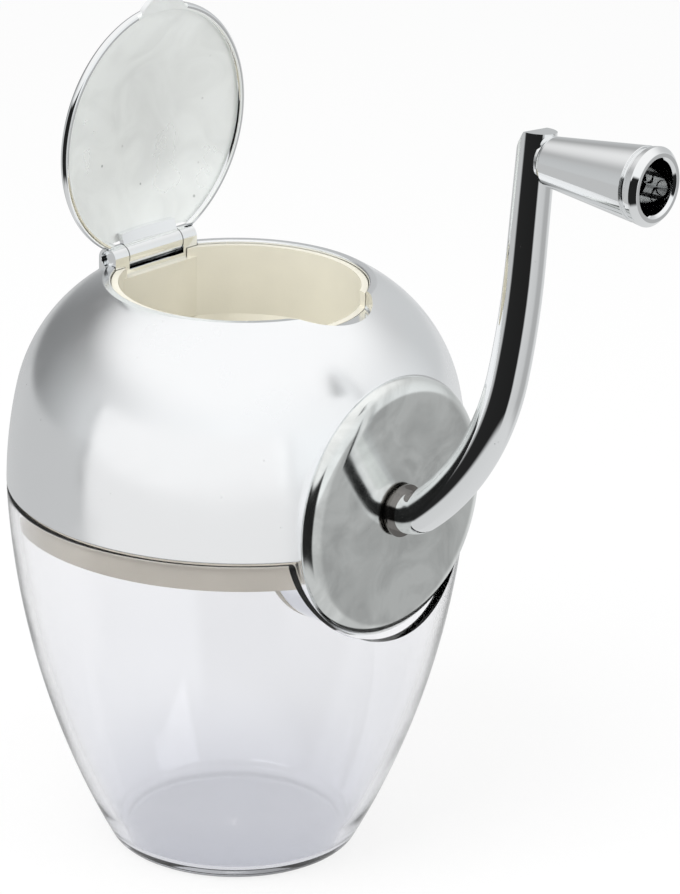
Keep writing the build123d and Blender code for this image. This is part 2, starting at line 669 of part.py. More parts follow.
# ---- Grip: a tapered sleeve that spins on its own axle at the arm's end ----
grip_start = grip_seat + grip_washer_thickness + wall_clearance
grip_end = grip_start + grip_length
grip_web_end = grip_end - grip_bore_depth
axle_bore = grip_axle_radius + running_clearance
grip_slope = (grip_large_radius - grip_small_radius) / grip_length
with BuildPart() as grip:
    with BuildSketch(grip_section) as grip_profile:
        with BuildLine():
            Polyline((grip_start, axle_bore), (grip_start, grip_small_radius), (grip_end, grip_large_radius),
                     (grip_end, grip_bore_radius), (grip_web_end, grip_bore_radius),
                     (grip_web_end, axle_bore), (grip_start, axle_bore))
        make_face()
        fillet(grip_profile.vertices().group_by(Axis.X)[0].sort_by(Axis.Y)[-1], grip_round)
        chamfer(grip_profile.vertices().group_by(Axis.X)[-1].sort_by(Axis.Y)[-1], grip_end_chamfer)
        chamfer(grip_profile.vertices().group_by(Axis.X)[-1].sort_by(Axis.Y)[0], grip_bore_chamfer)
        with Locations((grip_end - grip_groove_from_end, grip_large_radius)):
            groove_reach = grip_groove_depth + grip_groove_from_end * grip_slope
            Rectangle(grip_groove_width, 2 * groove_reach, mode=Mode.SUBTRACT)
    revolve(axis=grip_axis)
grip.part.label = "grip"

with BuildPart() as grip_washer:
    with BuildSketch(crank_across(grip_seat, crank_reach)):
        Circle(grip_washer_radius)
        Circle(axle_bore, mode=Mode.SUBTRACT)
    extrude(amount=grip_washer_thickness)
grip_washer.part.label = "grip_washer"

with BuildPart() as grip_axle:
    with BuildSketch(crank_across(grip_seat, crank_reach)):
        Circle(grip_axle_thread_radius - fit_clearance)
    extrude(amount=-grip_axle_grip)
    with BuildSketch(crank_across(grip_seat, crank_reach)):
        Circle(grip_axle_radius)
    extrude(amount=grip_web_end + wall_clearance - grip_seat)
    with BuildSketch(crank_across(grip_web_end + wall_clearance, crank_reach)):
        Circle(grip_axle_head_radius)
    extrude(amount=grip_axle_head)
    with BuildSketch(crank_across(grip_web_end + wall_clearance + grip_axle_head, crank_reach)):
        Rectangle(2 * grip_axle_head_radius, screw_slot_width)
        Rectangle(screw_slot_width, 2 * grip_axle_head_radius)
    extrude(amount=-screw_slot_depth, mode=Mode.SUBTRACT)
grip_axle.part.label = "grip_axle"

# ---- Lid hinge: bracket on the rim, pin, and the lid's leaf between the bracket's knuckles ----
hinge_sides = (-1, 1)
with BuildPart() as hinge_bracket:
    with BuildSketch(Plane.XY.offset(hinge_base_height)):
        with Locations((-hinge_offset, 0)):
            Rectangle(2 * hinge_barrel_radius, hinge_width)
        with Locations((-hinge_screw_x, -hinge_screw_spread), (-hinge_screw_x, hinge_screw_spread)):
            Circle(screw_radius, mode=Mode.SUBTRACT)
    extrude(amount=hinge_base_thickness)
    for side in hinge_sides:
        with BuildSketch(Plane.XZ.offset(-side * hinge_width / 2)):
            with Locations((-hinge_offset, hinge_height)):
                Circle(hinge_barrel_radius)
            with Locations((-hinge_offset, (hinge_height + hinge_base_height) / 2)):
                Rectangle(2 * hinge_barrel_radius, hinge_height - hinge_base_height)
        extrude(amount=side * hinge_end_knuckle)
        with BuildSketch(Plane.XZ.offset(-side * hinge_width / 2)):
            with Locations((-hinge_offset, hinge_height)):
                Circle(pin_recess_radius)
        extrude(amount=side * pin_recess_depth, mode=Mode.SUBTRACT)
        with BuildSketch(Plane.XZ.offset(-side * hinge_width / 2)):
            with Locations((-hinge_offset, hinge_height)):
                Circle(hinge_pin_radius + fit_clearance)
        extrude(amount=side * hinge_end_knuckle, mode=Mode.SUBTRACT)
    for side in hinge_sides:
        with BuildSketch(Plane.XY.offset(hinge_base_height + hinge_base_thickness)):
            with Locations((-hinge_screw_x, side * hinge_screw_spread)):
                Circle(screw_head_radius - screw_head_height / 2)
        extrude(amount=-hinge_base_thickness / 2, mode=Mode.SUBTRACT)
hinge_bracket.part.label = "hinge_bracket"

with BuildPart() as hinge_screws:
    for side in hinge_sides:
        with BuildSketch(Plane.XY.offset(hinge_base_height + hinge_base_thickness / 2)):
            with Locations((-hinge_screw_x, side * hinge_screw_spread)):
                Circle(screw_head_radius - screw_head_height / 2 - fit_clearance)
        extrude(amount=hinge_base_thickness / 2)
        with BuildSketch(Plane.XY.offset(hinge_base_height + hinge_base_thickness / 2)):
            with Locations((-hinge_screw_x, side * hinge_screw_spread)):
                Circle(screw_radius - fit_clearance)
        extrude(amount=screw_end_gap - hinge_screw_grip)
hinge_screws.part.label = "hinge_screws"

pin_half = hinge_width / 2 - pin_recess_depth / 2
with BuildPart() as hinge_pin:
    with BuildSketch(Plane.XZ.offset(-pin_half)):
        with Locations((-hinge_offset, hinge_height)):
            Circle(hinge_pin_radius)
    extrude(amount=2 * pin_half)
hinge_pin.part.label = "hinge_pin"

# The lid is drawn in its own frame: origin at its centre, local x away from the hinge, y out of its top.
barrel_half = hinge_width / 2 - hinge_end_knuckle - hinge_gap
lid_seat = lid_seat_gap - hinge_above_rim
bead_centre = lid_seat + lid_bead_radius
cap_radius = lid_radius - lid_bead_radius / 2
cap_base = bead_centre + lid_bead_radius - sqrt(lid_crown_radius ** 2 - cap_radius ** 2)


def cap_section(inset):
    """Half section of the lid's cap, inset by a wall and filled down as far below the lid's seat."""
    radius = lid_crown_radius - inset
    floor = lid_seat - inset
    with BuildSketch(lid_section) as section:
        with BuildLine():
            edge_height = cap_base + sqrt(radius ** 2 - cap_radius ** 2)
            side = Line((cap_radius, floor), (cap_radius, edge_height))
            cap = RadiusArc(side @ 1, (0, cap_base + radius), -radius)
            Polyline(cap @ 1, (0, floor), side @ 0)
        make_face()
    return section.sketch


with BuildPart() as leaf_pocket:
    with BuildSketch(lid_section):
        with Locations((-hinge_offset + leaf_reach / 2, 0)):
            Rectangle(leaf_reach + 2 * wall_clearance, 2 * hinge_barrel_radius)
    extrude(amount=barrel_half + wall_clearance, both=True)
    add(revolve(cap_section(lid_wall), axis=lid_axis, mode=Mode.PRIVATE), mode=Mode.INTERSECT)

with BuildPart() as lid_shell:
    add(revolve(cap_section(0.0), axis=lid_axis, mode=Mode.PRIVATE))
    add(revolve(cap_section(lid_wall), axis=lid_axis, mode=Mode.PRIVATE), mode=Mode.SUBTRACT)
    with BuildSketch(lid_section):
        with Locations((lid_radius - lid_bead_radius, bead_centre)):
            Circle(lid_bead_radius)
    revolve(axis=lid_axis)
    with BuildSketch(lid_plane.offset(lid_seat)):
        with Locations((lid_radius - lid_tab_width / 2, 0)):
            SlotOverall(2 * lid_tab_reach + lid_tab_width, lid_tab_width)
        Circle(lid_radius - lid_bead_radius, mode=Mode.SUBTRACT)
    extrude(amount=lid_tab_thickness)
    with BuildSketch(lid_plane.offset(-lid_radius)):
        with Locations((-hinge_offset, 0)):
            Rectangle(2 * lid_hinge_cut, hinge_width + 2 * hinge_gap)
    extrude(amount=2 * lid_radius, mode=Mode.SUBTRACT)
    add(leaf_pocket.part, mode=Mode.SUBTRACT)
lid_shell.part.label = "lid_shell"

with BuildPart() as lid_leaf:
    with BuildSketch(lid_section):
        with Locations((-hinge_offset + leaf_reach / 2, 0)):
            Rectangle(leaf_reach, 2 * hinge_barrel_radius)
    extrude(amount=barrel_half, both=True)
    add(revolve(cap_section(lid_wall + fit_clearance), axis=lid_axis, mode=Mode.PRIVATE),
        mode=Mode.INTERSECT)
    add(revolve(cap_section(lid_wall + leaf_thickness), axis=lid_axis, mode=Mode.PRIVATE),
        mode=Mode.SUBTRACT)
    with BuildSketch(lid_section):
        with Locations((-hinge_offset, 0)):
            Circle(hinge_barrel_radius)
    extrude(amount=barrel_half, both=True)
    with BuildSketch(lid_section):
        with Locations((-hinge_offset, 0)):
            Circle(hinge_pin_radius + running_clearance)
    extrude(amount=barrel_half, both=True, mode=Mode.SUBTRACT)
lid_leaf.part.label = "lid_leaf"

finished = (cup, dome_shell, hopper_liner, lower_deck, side_disc, rear_bush, front_bush, nose_bush,
            crank_shaft, shaft_clip, breaker_wheels, wheel_spacers, coarse_comb, fine_comb, deck_screws,
            liner_screws, comb_screws, disc_screws, crank_washer, crank_arm, grip, grip_washer, grip_axle,
            hinge_bracket, hinge_screws, hinge_pin, lid_shell, lid_leaf)
for piece in finished:
    export_step(piece.part, f"parts/{piece.part.label}.step")
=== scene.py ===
from math import acos, asin, atan2, cos, degrees, pi, radians, sin, sqrt, tan

import bmesh
import bpy
from mathutils import Matrix, Vector


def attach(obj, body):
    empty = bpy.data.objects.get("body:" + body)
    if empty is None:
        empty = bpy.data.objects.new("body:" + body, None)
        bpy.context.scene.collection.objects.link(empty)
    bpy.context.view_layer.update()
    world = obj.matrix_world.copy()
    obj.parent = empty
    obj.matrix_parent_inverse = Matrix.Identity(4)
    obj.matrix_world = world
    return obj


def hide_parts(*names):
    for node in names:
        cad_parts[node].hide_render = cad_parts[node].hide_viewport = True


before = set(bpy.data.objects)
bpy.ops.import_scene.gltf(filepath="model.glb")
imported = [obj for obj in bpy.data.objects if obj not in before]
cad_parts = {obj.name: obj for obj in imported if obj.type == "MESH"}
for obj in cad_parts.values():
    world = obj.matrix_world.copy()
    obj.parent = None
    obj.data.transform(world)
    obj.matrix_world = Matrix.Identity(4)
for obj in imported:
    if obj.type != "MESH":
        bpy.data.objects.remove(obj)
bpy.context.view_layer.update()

# ---- Camera ----
# It stands about 1.2 m from the seam, a little above it and on the crank's near side. Its place, roll and
# lens come from a fit of the cup, dome, side disc and crank to their outlines in the photograph.
MM = 0.001
scene = bpy.context.scene
seam_height = 117.0
crank_azimuth, camera_elevation, camera_roll = 40.5, 20.4504, -1.1996
seam_from_camera = Vector((-31.106, -9.469, -1200.0)) * MM
focal_in_pixels, image_height_in_pixels, sensor_width, view_end = 3948.71, 894, 36.0, 20.0

rise, roll = radians(camera_elevation), radians(camera_roll)
look = Matrix(((1, 0, 0), (0, sin(rise), cos(rise)), (0, -cos(rise), sin(rise))))
tilt = Matrix(((cos(roll), -sin(roll), 0), (sin(roll), cos(roll), 0), (0, 0, 1)))
camera_axes = (tilt @ look).transposed()
turn_to_part = Matrix.Rotation(radians(crank_azimuth), 4, "Z")
camera_data = bpy.data.cameras.new("camera")
camera_data.sensor_width = sensor_width
camera_data.lens = focal_in_pixels * sensor_width / image_height_in_pixels
camera_data.clip_end = view_end
camera = bpy.data.objects.new("camera", camera_data)
scene.collection.objects.link(camera)
stand = Matrix.Translation(camera_axes @ -seam_from_camera) @ camera_axes.to_4x4()
camera.matrix_world = Matrix.Translation((0, 0, seam_height * MM)) @ turn_to_part @ stand
scene.camera = camera
scene.view_settings.view_transform = "Standard"


# ---- Floor ----
# A pale studio sweep. To the camera and through the clear cup it is all but white, and it keeps the object's
# soft shadow. Polished metal doesn't mirror it, since it mirrors the room built below.
def feed(tree, target, inputs):
    """Gives a node's inputs their plain values, or their links from other nodes' outputs."""
    for key, value in inputs.items():
        if isinstance(value, bpy.types.NodeSocket):
            tree.links.new(value, target.inputs[key])
        else:
            target.inputs[key].default_value = value


def node(tree, kind, inputs=None, **settings):
    """A new node in any tree, with its settings and inputs."""
    made = tree.nodes.new(kind)
    for key, value in settings.items():
        setattr(made, key, value)
    feed(tree, made, inputs or {})
    return made


def new_material(name):
    """A new material and its node tree."""
    material = bpy.data.materials.new(name)
    material.use_nodes = True
    return material, material.node_tree


def link(name, mesh, material, body=None):
    """Puts a finished mesh in the scene with its material, riding on a body of the frame."""
    mesh.materials.append(material)
    piece = bpy.data.objects.new(name, mesh)
    scene.collection.objects.link(piece)
    if body:
        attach(piece, body)
    return piece


floor_half, floor_whiteness = 6.0, 0.82
floor_material, paint = new_material("white_floor")
matt = paint.nodes["Principled BSDF"]
feed(paint, matt, {"Base Color": (0.96, 0.96, 0.96, 1.0), "Roughness": 0.9})
glow = node(paint, "ShaderNodeEmission", {"Color": (1, 1, 1, 1), "Strength": 1.0})
path = node(paint, "ShaderNodeLightPath")
direct = node(paint, "ShaderNodeMath",
              {0: path.outputs["Is Camera Ray"], 1: path.outputs["Is Transmission Ray"]}, operation="MAXIMUM")
lit = node(paint, "ShaderNodeMixShader", {"Fac": floor_whiteness, 1: matt.outputs[0], 2: glow.outputs[0]})
seen = node(paint, "ShaderNodeMixShader", {"Fac": direct.outputs[0], 1: matt.outputs[0], 2: lit.outputs[0]})
feed(paint, paint.nodes["Material Output"], {"Surface": seen.outputs[0]})
floor_mesh = bpy.data.meshes.new("floor")
floor_corners = [(sx * floor_half, sy * floor_half, 0) for sx, sy in ((-1, -1), (1, -1), (1, 1), (-1, 1))]
floor_mesh.from_pydata(floor_corners, [], [(0, 1, 2, 3)])
floor = link("floor", floor_mesh, floor_material)
floor.visible_glossy = False


# ---- Room of light ----
# White all round for the camera and the plastics. Glossy metal sees soft grey walls, a pale table, a white
# ceiling and one dark wall in front, which gives the crank and the disc's rim their black bands.
def mapped(tree, value, low, high, to_low=0.0, to_high=1.0, curve="LINEAR"):
    """A value brought from one range to another."""
    ranges = {"Value": value, "From Min": low, "From Max": high, "To Min": to_low, "To Max": to_high}
    return node(tree, "ShaderNodeMapRange", ranges, interpolation_type=curve).outputs["Result"]


def ramp(tree, factor, stops):
    """The colour at a factor along (place, colour) stops."""
    made = node(tree, "ShaderNodeValToRGB", {"Fac": factor})
    elements = made.color_ramp.elements
    while len(elements) < len(stops):
        elements.new(0.5)
    for element, (place, colour) in zip(elements, stops):
        element.position, element.color = place, (*colour, 1.0)
    return made.outputs["Color"]


def mixed(tree, factor, low, high, **settings):
    """Two colours mixed by a factor."""
    colours = {"Factor": factor, "A": low, "B": high}
    return node(tree, "ShaderNodeMix", colours, data_type="RGBA", **settings).outputs["Result"]


def seen_from_camera(azimuth, elevation):
    """A direction given from the object: degrees to the camera's right, and above the horizon."""
    a, e = radians(azimuth), radians(elevation)
    return turn_to_part.to_3x3() @ Vector((sin(a) * cos(e), -cos(a) * cos(e), sin(e)))


world = bpy.data.worlds.new("bowl_of_light")
scene.world = world
world.use_nodes = True
sky = world.node_tree
ray = node(sky, "ShaderNodeTexCoord").outputs["Generated"]
height = node(sky, "ShaderNodeSeparateXYZ", {"Vector": ray}).outputs["Z"]
rightwards, nearwards = (node(sky, "ShaderNodeVectorMath", {0: ray, 1: seen_from_camera(azimuth, 0)},
                              operation="DOT_PRODUCT").outputs["Value"] for azimuth in (90, 0))
turn = node(sky, "ShaderNodeMath", {0: rightwards, 1: nearwards}, operation="ARCTAN2").outputs[0]
compass = mapped(sky, turn, -pi, pi)
grey_cast = (0.99, 1.0, 1.005)


def round_the_room(stops):
    """Greys all round, from (azimuth, grey) stops."""
    return ramp(sky, compass, [((azimuth + 180) / 360, [grey * c for c in grey_cast])
                               for azimuth, grey in stops])


# heights where one part of the room gives way to the next, as sines of the elevation
table_edge, wall_foot = (-0.70, -0.56), (-0.10, -0.01)
dark_wall_top, ceiling_edge = (0.30, 0.42), (0.45, 0.80)
table = round_the_room([(-180, 0.72), (-60, 0.66), (60, 0.70), (180, 0.72)])
low_walls = round_the_room([(-180, 0.62), (-128, 0.55), (-84, 0.55), (-74, 0.020), (24, 0.016), (31, 0.66),
                            (68, 0.60), (84, 0.44), (112, 0.44), (130, 0.70), (180, 0.75)])
high_walls = round_the_room([(-180, 0.50), (-152, 0.22), (-128, 0.24), (-105, 0.42), (-82, 0.66), (-45, 0.90),
                             (0, 0.98), (60, 0.94), (100, 0.84), (136, 0.60), (160, 0.60), (180, 0.52)])
dark_wall = round_the_room([(-82, 1.0), (-72, 0.020), (-30, 0.016), (22, 0.016), (30, 1.0)])
below = mixed(sky, mapped(sky, height, *table_edge, curve="SMOOTHSTEP"), table, low_walls)
darkened = mixed(sky, 1.0, high_walls, dark_wall, blend_type="MULTIPLY")
above = mixed(sky, mapped(sky, height, *dark_wall_top, curve="SMOOTHSTEP"), darkened, high_walls)
room = mixed(sky, mapped(sky, height, *wall_foot, curve="SMOOTHSTEP"), below, above)
mirrored = mixed(sky, mapped(sky, height, *ceiling_edge, curve="SMOOTHSTEP"), room, (1.0, 1.0, 1.0, 1.0))
mirror_view = node(sky, "ShaderNodeBackground", {"Color": mirrored, "Strength": 1.0})
white_view = node(sky, "ShaderNodeBackground", {"Color": (1, 1, 1, 1), "Strength": 1.0})
plain_view = sky.nodes["Background"]
feed(sky, plain_view, {"Color": (1, 1, 1, 1), "Strength": 0.75})
paths = node(sky, "ShaderNodeLightPath")
views = plain_view
for kind, view in (("Is Camera Ray", white_view), ("Is Transmission Ray", white_view),
                   ("Is Glossy Ray", mirror_view)):
    views = node(sky, "ShaderNodeMixShader",
                 {"Fac": paths.outputs[kind], 1: views.outputs[0], 2: view.outputs[0]})
feed(sky, sky.nodes["World Output"], {"Surface": views.outputs[0]})
aimed_at = Vector((0, 0, 0.12))
for name, azimuth, elevation, distance, size, watts in (("key_softbox", -40, 50, 1.2, 0.8, 9),
                                                        ("fill_softbox", 60, 35, 1.4, 1.0, 4)):
    lamp = bpy.data.lights.new(name, "AREA")
    lamp.size, lamp.energy = size, watts
    softbox = bpy.data.objects.new(name, lamp)
    scene.collection.objects.link(softbox)
    softbox.location = seen_from_camera(azimuth, elevation) * distance + aimed_at
    softbox.rotation_euler = (aimed_at - softbox.location).to_track_quat("-Z", "Y").to_euler()
    softbox.visible_glossy = False


# ---- Cup ----
# The clear moulded beaker that catches the crushed ice: curved walls, a flat foot and a plain rim, notched for
# the side boss. The lower deck's skirt plugs into it. Faint ripples and scuffs, darker and more violet to the
# foot.
def arc(cx, cz, radius, start, end, steps):
    """Points on an arc of a profile, angles in degrees from the r axis, sizes in mm."""
    return [(cx + radius * cos(radians(start + (end - start) * i / steps)),
             cz + radius * sin(radians(start + (end - start) * i / steps))) for i in range(steps + 1)]


def side_arc(r0, z0, r1, z1, radius, steps):
    """An outward-bulging arc from (r0, z0) to (r1, z1)."""
    chord = Vector((r1 - r0, z1 - z0))
    middle = Vector(((r0 + r1) / 2, (z0 + z1) / 2))
    inward = Vector((-chord.y, chord.x)).normalized()
    centre = middle + inward * sqrt(radius ** 2 - (chord.length / 2) ** 2)
    start, end = (degrees(atan2(z - centre.y, r - centre.x)) for r, z in ((r0, z0), (r1, z1)))
    return arc(centre.x, centre.y, radius, start, end, steps)


def eased(corners):
    """A closed profile of (r, z, rounding) corners as points, each corner rounded by its radius."""
    facets, longest = 5, 0.499
    points = []
    for i, (r, z, rounding) in enumerate(corners):
        if not rounding:
            points.append((r, z))
            continue
        here = Vector((r, z))
        back = Vector(corners[i - 1][:2]) - here
        ahead = Vector(corners[(i + 1) % len(corners)][:2]) - here
        slope = tan(back.angle(ahead) / 2)
        reach = min(rounding / max(1e-6, abs(slope)), back.length * longest, ahead.length * longest)
        radius = reach * slope
        inward = (back.normalized() + ahead.normalized()).normalized()
        centre = here + inward * (radius / sin(back.angle(ahead) / 2))
        first = here + back.normalized() * reach - centre
        last = here + ahead.normalized() * reach - centre
        sweep = first.angle_signed(last)
        for k in range(facets + 1):
            c, s = cos(-sweep * k / facets), sin(-sweep * k / facets)
            points.append((centre.x + first.x * c - first.y * s, centre.y + first.x * s + first.y * c))
    return points


def built(name, shape, place):
    """The mesh of a shape drawn in mm, put in its place (a matrix in mm) in metres."""
    mesh = bpy.data.meshes.new(name)
    shape.to_mesh(mesh)
    shape.free()
    mesh.transform(Matrix.Scale(MM, 4) @ place)
    return mesh


def turned(name, profile, place=Matrix.Identity(4), segments=192):
    """A closed profile of (r, z) points turned about z and put in its place."""
    shape = bmesh.new()
    rings = []
    for r, z in profile:
        if r < 1e-6:
            rings.append([shape.verts.new((0, 0, z))] * segments)
        else:
            rings.append([shape.verts.new((r * cos(2 * pi * k / segments), r * sin(2 * pi * k / segments), z))
                          for k in range(segments)])
    for i, ring in enumerate(rings):
        following = rings[(i + 1) % len(rings)]
        for k in range(segments):
            corners = [ring[k], ring[(k + 1) % segments], following[(k + 1) % segments], following[k]]
            unique = list(dict.fromkeys(corners))
            if len(unique) >= 3:
                shape.faces.new(unique)
    bmesh.ops.remove_doubles(shape, verts=shape.verts, dist=1e-5)
    bmesh.ops.recalc_face_normals(shape, faces=shape.faces)
    return built(name, shape, place)


def cylinder(name, radius, low, high, place, segments):
    """A solid cylinder from low to high, used only to cut other shapes."""
    return turned(name, [(0, low), (radius, low), (radius, high), (0, high)], place, segments)


def finished(piece):
    """The plain mesh of an object after its modifiers; the object is removed."""
    scene.collection.objects.link(piece)
    bpy.context.view_layer.update()
    mesh = bpy.data.meshes.new_from_object(piece.evaluated_get(bpy.context.evaluated_depsgraph_get()))
    bpy.data.objects.remove(piece)
    return mesh


def carve(mesh, steps):
    """The mesh after a list of ("UNION" or "DIFFERENCE", tool mesh) steps."""
    body = bpy.data.objects.new("carving", mesh)
    tools = []
    for operation, tool_mesh in steps:
        tool = bpy.data.objects.new("tool", tool_mesh)
        scene.collection.objects.link(tool)
        tools.append(tool)
        cut = body.modifiers.new("cut", "BOOLEAN")
        cut.operation, cut.object, cut.solver = operation, tool, "EXACT"
    made = finished(body)
    for tool in tools:
        bpy.data.objects.remove(tool)
    made.name = mesh.name
    return made


def smoothed(mesh, sharp_angle=32.0):
    """Smooth shading with crisp edges past an angle, weighted so that flat faces stay flat."""
    mesh.shade_smooth()
    mesh.set_sharp_from_angle(angle=radians(sharp_angle))
    body = bpy.data.objects.new("shading", mesh)
    body.modifiers.new("weighted", "WEIGHTED_NORMAL").keep_sharp = True
    made = finished(body)
    made.name = mesh.name
    return made


axis_height = 124.3
along_crank = Matrix.Translation((0, 0, axis_height)) @ Matrix.Rotation(pi / 2, 4, "Y")
egg_radius, cup_rim, cup_side = 70.0, 116.2, 270.0
foot_radius, foot_taper, cup_wall, cup_floor, foot_round, lip_round = 37.5, 0.6, 2.5, 3.5, 5.0, 0.8
boss_back, notch_radius, clear_of_all = 46.0, 40.0, 90.0
side_steps, under_rounding = 40, 3
outer_side = side_arc(foot_radius, 0, egg_radius, cup_rim, cup_side, side_steps)
inner_side = side_arc(foot_radius - cup_wall + foot_taper, cup_floor, egg_radius - cup_wall, cup_rim,
                      cup_side - cup_wall, side_steps)
cup_corners = ([(0, 0, 0), (*outer_side[0], foot_round)] + [(*p, 0) for p in outer_side[under_rounding:-1]]
               + [(*outer_side[-1], lip_round), (*inner_side[-1], lip_round)]
               + [(*p, 0) for p in inner_side[-2:under_rounding:-1]]
               + [(*inner_side[0], foot_round), (0, cup_floor, 0)])
cup_mesh = turned("cup", eased(cup_corners), segments=160)
notch = cylinder("notch", notch_radius, boss_back, clear_of_all, along_crank, 160)
cup_mesh = smoothed(carve(cup_mesh, [("DIFFERENCE", notch)]), 35)

clear_plastic, paint = new_material("clear_polystyrene")
place = node(paint, "ShaderNodeTexCoord").outputs["Object"]
ripple = node(paint, "ShaderNodeTexNoise", {"Vector": place, "Scale": 14.0, "Detail": 2.0})
scuff = node(paint, "ShaderNodeTexNoise", {"Vector": place, "Scale": 300.0, "Detail": 4.0})
bump = node(paint, "ShaderNodeBump", {"Height": ripple.outputs["Fac"], "Strength": 0.12, "Distance": 0.002})
level = node(paint, "ShaderNodeSeparateXYZ", {"Vector": place}).outputs["Z"]
# the clear plastic is coloured darker and more violet from the rim down to the foot
tint = ramp(paint, mapped(paint, level, 0.0, cup_rim * MM),
            ((0.0, (0.76, 0.77, 0.82)), (0.22, (0.89, 0.895, 0.92)), (0.7, (0.955, 0.957, 0.968))))
feed(paint, paint.nodes["Principled BSDF"],
     {"Base Color": tint, "Roughness": mapped(paint, scuff.outputs["Fac"], 0.4, 0.8, 0.02, 0.07),
      "Transmission Weight": 1.0, "IOR": 1.49, "Normal": bump.outputs["Normal"]})
cup_piece = link("cup_visible", cup_mesh, clear_plastic, "cup")
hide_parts("cup")


# ---- Dome ----
# The chromed upper shell: one plastic moulding, plated to a soft mirror, with a flared boss for the crank's
# cover, a sunk seat for the lid's hinge and a finger scoop in the rim. It stands on the lower deck's lip.
def chrome(name, haze, tint=(0.90, 0.91, 0.915), speck_size=0.55, speck_depth=0.25, speck_spread=0.56,
           stain=0.0, metal=1.0):
    """Plated metal: a mirror with faint haze, tiny pits, dried specks and, where asked, cloudy stains."""
    material, paint = new_material(name)
    place = node(paint, "ShaderNodeTexCoord").outputs["Object"]
    cloud = node(paint, "ShaderNodeTexNoise", {"Vector": place, "Scale": 38.0, "Detail": 4.0,
                                               "Roughness": 0.6})
    dirt = node(paint, "ShaderNodeTexVoronoi", {"Vector": place, "Scale": 1.0 / (speck_size * 8 * MM),
                                                "Randomness": 1.0})
    patch = node(paint, "ShaderNodeTexNoise", {"Vector": place, "Scale": 55.0, "Detail": 2.0})
    smear = node(paint, "ShaderNodeTexNoise", {"Vector": place, "Scale": 60.0, "Detail": 5.0,
                                               "Distortion": 1.2})
    dot = mapped(paint, dirt.outputs["Distance"], 0.10, 0.045)
    where = mapped(paint, patch.outputs["Fac"], speck_spread, speck_spread + 0.14)
    speck = node(paint, "ShaderNodeMath", {0: dot, 1: where}, operation="MULTIPLY").outputs[0]
    rough = mapped(paint, cloud.outputs["Fac"], 0.35, 0.75, haze * 0.7, haze * 1.5)
    rough = node(paint, "ShaderNodeMath", {0: speck, 1: 0.25, 2: rough}, operation="MULTIPLY_ADD").outputs[0]
    clean = ramp(paint, smear.outputs["Fac"], ((0.36, [c * (1 - stain) for c in tint]), (0.62, tint)))
    colour = mixed(paint, speck, clean, (*(c * (1 - speck_depth) for c in tint), 1))
    bump = node(paint, "ShaderNodeBump", {"Height": speck, "Strength": 0.15, "Distance": 0.0002})
    feed(paint, paint.nodes["Principled BSDF"], {"Base Color": colour, "Metallic": metal, "Roughness": rough,
                                                 "Normal": bump.outputs["Normal"]})
    return material


def block(name, low, high, place=Matrix.Identity(4)):
    """A plain block between two corners, used only to cut other shapes."""
    shape = bmesh.new()
    bmesh.ops.create_cube(shape, size=1.0)
    for vertex in shape.verts:
        vertex.co = Vector(((low[i] + high[i]) / 2 + vertex.co[i] * (high[i] - low[i]) for i in range(3)))
    return built(name, shape, place)


flank_radius, crown_radius, flank_height = 140.0, 50.0, 30.0
mouth_rim, mouth_bore, dome_wall = 41.0, 38.6, 2.2
inner_shoulder, inner_waist = ((mouth_bore, 158, 0), (52, 158, 0)), (64, 140, 0)
crown_turn = degrees(asin(flank_height / flank_radius))
crown_r = egg_radius - flank_radius + (flank_radius - crown_radius) * cos(radians(crown_turn))
crown_z = seam_height + (flank_radius - crown_radius) * sin(radians(crown_turn))
rim_turn = degrees(acos((mouth_rim - crown_r) / crown_radius))
rim_z = crown_z + crown_radius * sin(radians(rim_turn))
flank = arc(egg_radius - flank_radius, seam_height, flank_radius, 0, crown_turn, 14)
crown = arc(crown_r, crown_z, crown_radius, crown_turn, rim_turn, 44)
dome_corners = ([(*flank[0], 0.7)] + [(*p, 0) for p in flank[1:-1] + crown[:-1]]
                + [(mouth_rim, rim_z, 0.9), (mouth_bore, rim_z, 0.6), *inner_shoulder, inner_waist,
                   (egg_radius - dome_wall, seam_height, 0.4)])
dome_mesh = turned("dome", eased(dome_corners), segments=224)
boss_core, boss_body, boss_mouth, flare_start, boss_front, flare_radius = 30.0, 38.5, 39.7, 57.5, 60.5, 3.0
flare = arc(boss_body + flare_radius, flare_start, flare_radius, 180, 138, 4)
boss = turned("boss", [(boss_core, boss_back), (boss_body, boss_back), *flare, (boss_mouth, boss_front),
                       (boss_core, boss_front)], along_crank, 192)
seat = cylinder("seat", 60.0, boss_front, clear_of_all, along_crank, 96)
scoop_radius, scoop_reach, scoop_depth, scoop_round, scoop_height = 19.5, 5.0, 5.5, 1.5, 20
scoop_place = Matrix.Translation((mouth_rim + scoop_reach - scoop_radius, 0, rim_z - scoop_depth))
scoop = turned("scoop", [(0, 0), *arc(scoop_radius - scoop_round, scoop_round, scoop_round, -90, 0, 5),
                         (scoop_radius, scoop_height), (0, scoop_height)], scoop_place, 128)
hinge_above_rim, hinge_width, hinge_barrel, hinge_gap, hinge_base = 1.7, 35.8, 3.5, 0.3, 1.8
hinge_x, hinge_z = -37.6, rim_z + hinge_above_rim
hinge_floor, seat_height = hinge_z - hinge_barrel - hinge_gap - hinge_base, 40
seat_depth, seat_width = hinge_barrel + hinge_gap, hinge_width / 2 + hinge_gap
hinge_cut = block("hinge_cut", (hinge_x - seat_depth, -seat_width, hinge_floor),
                  (hinge_x + seat_depth, seat_width, hinge_floor + seat_height))
dome_mesh = carve(dome_mesh, [("UNION", boss), ("DIFFERENCE", seat), ("DIFFERENCE", scoop),
                              ("DIFFERENCE", hinge_cut)])
satin_chrome = chrome("chromed_moulding", haze=0.21, tint=(0.955, 0.965, 0.975), speck_spread=0.54)
dome_piece = link("dome_visible", smoothed(dome_mesh, 30), satin_chrome, "head")
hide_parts("dome_shell")

